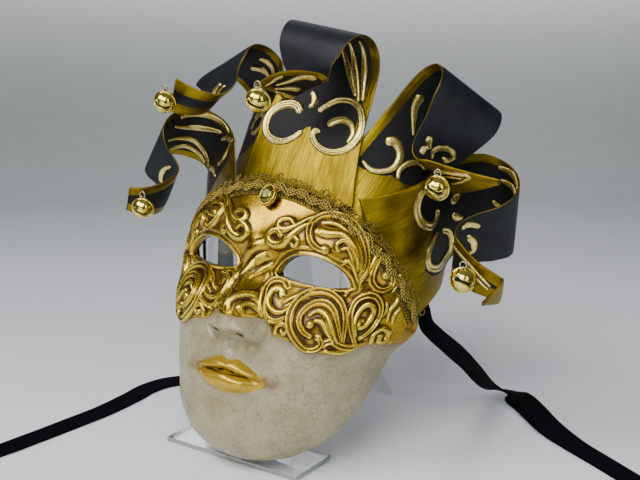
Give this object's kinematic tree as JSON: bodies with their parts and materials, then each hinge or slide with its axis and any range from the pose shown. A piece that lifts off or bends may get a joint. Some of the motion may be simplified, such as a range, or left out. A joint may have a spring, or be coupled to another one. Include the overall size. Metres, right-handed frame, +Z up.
{
  "type": "venetian jester mask on stand",
  "caption": "Full-face carnival mask with eye openings, gilt relief, curling jester points with bells and ribbon ties, resting on a bent clear stand.",
  "frame": {"origin": "near the middle of the stand's front edge, on the surface it stands on", "axes": "+Z up, the mask's front faces -Y, +X is the viewer's right"},
  "size_m": [0.3874, 0.2808, 0.2459],
  "materials": {
    "gilded_shell": "crackled ivory lacquer below, worn gold leaf on relief above, brown in the hollows, black lining inside",
    "gilded_leather": "brushed gold borders and matte black panels with raised pale gold scrolls, plain black back",
    "gold_braid": "metallic gold braid with picot loops",
    "gem_metal": "polished",
    "gem_glass": "olive glass over dark foil",
    "bell_brass": "polished",
    "black_satin": "woven satin ribbon",
    "clear_acrylic": "clear polished sheet"
  },
  "bodies": {
    "root": {"face": "gilded_shell", "point_centre": "gilded_leather", "point_upper_left": "gilded_leather", "point_lower_left": "gilded_leather", "point_upper_right": "gilded_leather", "point_lower_right": "gilded_leather", "braid_trim": "gold_braid", "gem_setting": "gem_metal", "gem": "gem_glass", "bell_centre": "bell_brass", "bell_upper_left": "bell_brass", "bell_lower_left": "bell_brass", "bell_upper_right": "bell_brass", "bell_lower_right": "bell_brass", "ribbon_left": "black_satin", "ribbon_right": "black_satin", "stand": "clear_acrylic"}
  },
  "joints": []
}
